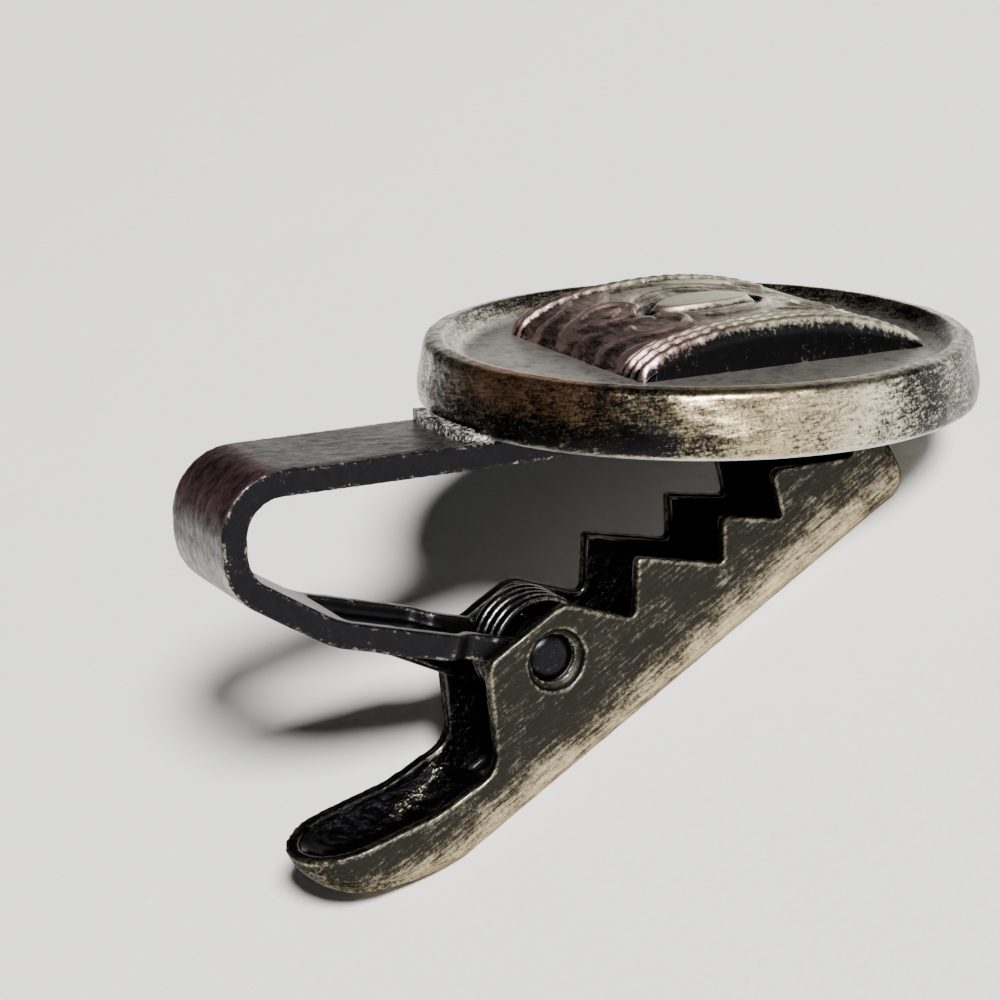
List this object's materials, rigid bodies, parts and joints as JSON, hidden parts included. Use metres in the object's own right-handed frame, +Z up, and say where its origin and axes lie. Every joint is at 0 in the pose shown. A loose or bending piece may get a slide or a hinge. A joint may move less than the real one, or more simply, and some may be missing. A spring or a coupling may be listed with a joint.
{
  "type": "concho alligator clip",
  "caption": "Round metal concho on a sprung toothed alligator clip with a looped strap and a spoon lever.",
  "frame": {"origin": "middle of the clip's bounding box on the surface that the jaw's flat spine rests on", "axes": "+X along the jaw's spine towards its nose, +Z up from that surface, Y across the clip"},
  "size_m": [0.0376, 0.0244, 0.0202],
  "materials": {
    "jaw": "antiqued silver plate, blackened in the hollows and rubbed bright along the spine's bends",
    "pin": "blackened steel, satin",
    "spring": "blackened spring wire",
    "strap": "antiqued silver plate, satin with a faint purple tarnish on the loop",
    "concho": "antiqued silver plate, black in the relief, brown patina and brushed bright streaks on the rim",
    "solder": "dull grey solder with a white flux crust"
  },
  "bodies": {
    "jaw_body": {"jaw": "jaw", "hinge_pin": "pin", "torsion_spring": "spring"},
    "strap_body": {"strap": "strap", "concho": "concho", "solder_joint": "solder"}
  },
  "joints": [
    {"name": "clip_hinge", "type": "hinge", "parent": "jaw_body", "child": "strap_body", "pos_m": [-0.00508, 0, 0.0049], "axis": [0, -1, 0], "range_deg": [0, 30], "stiffness_Nm_per_rad": 0.011, "springref_deg": -91.67, "deforming": ["torsion_spring"]}
  ]
}
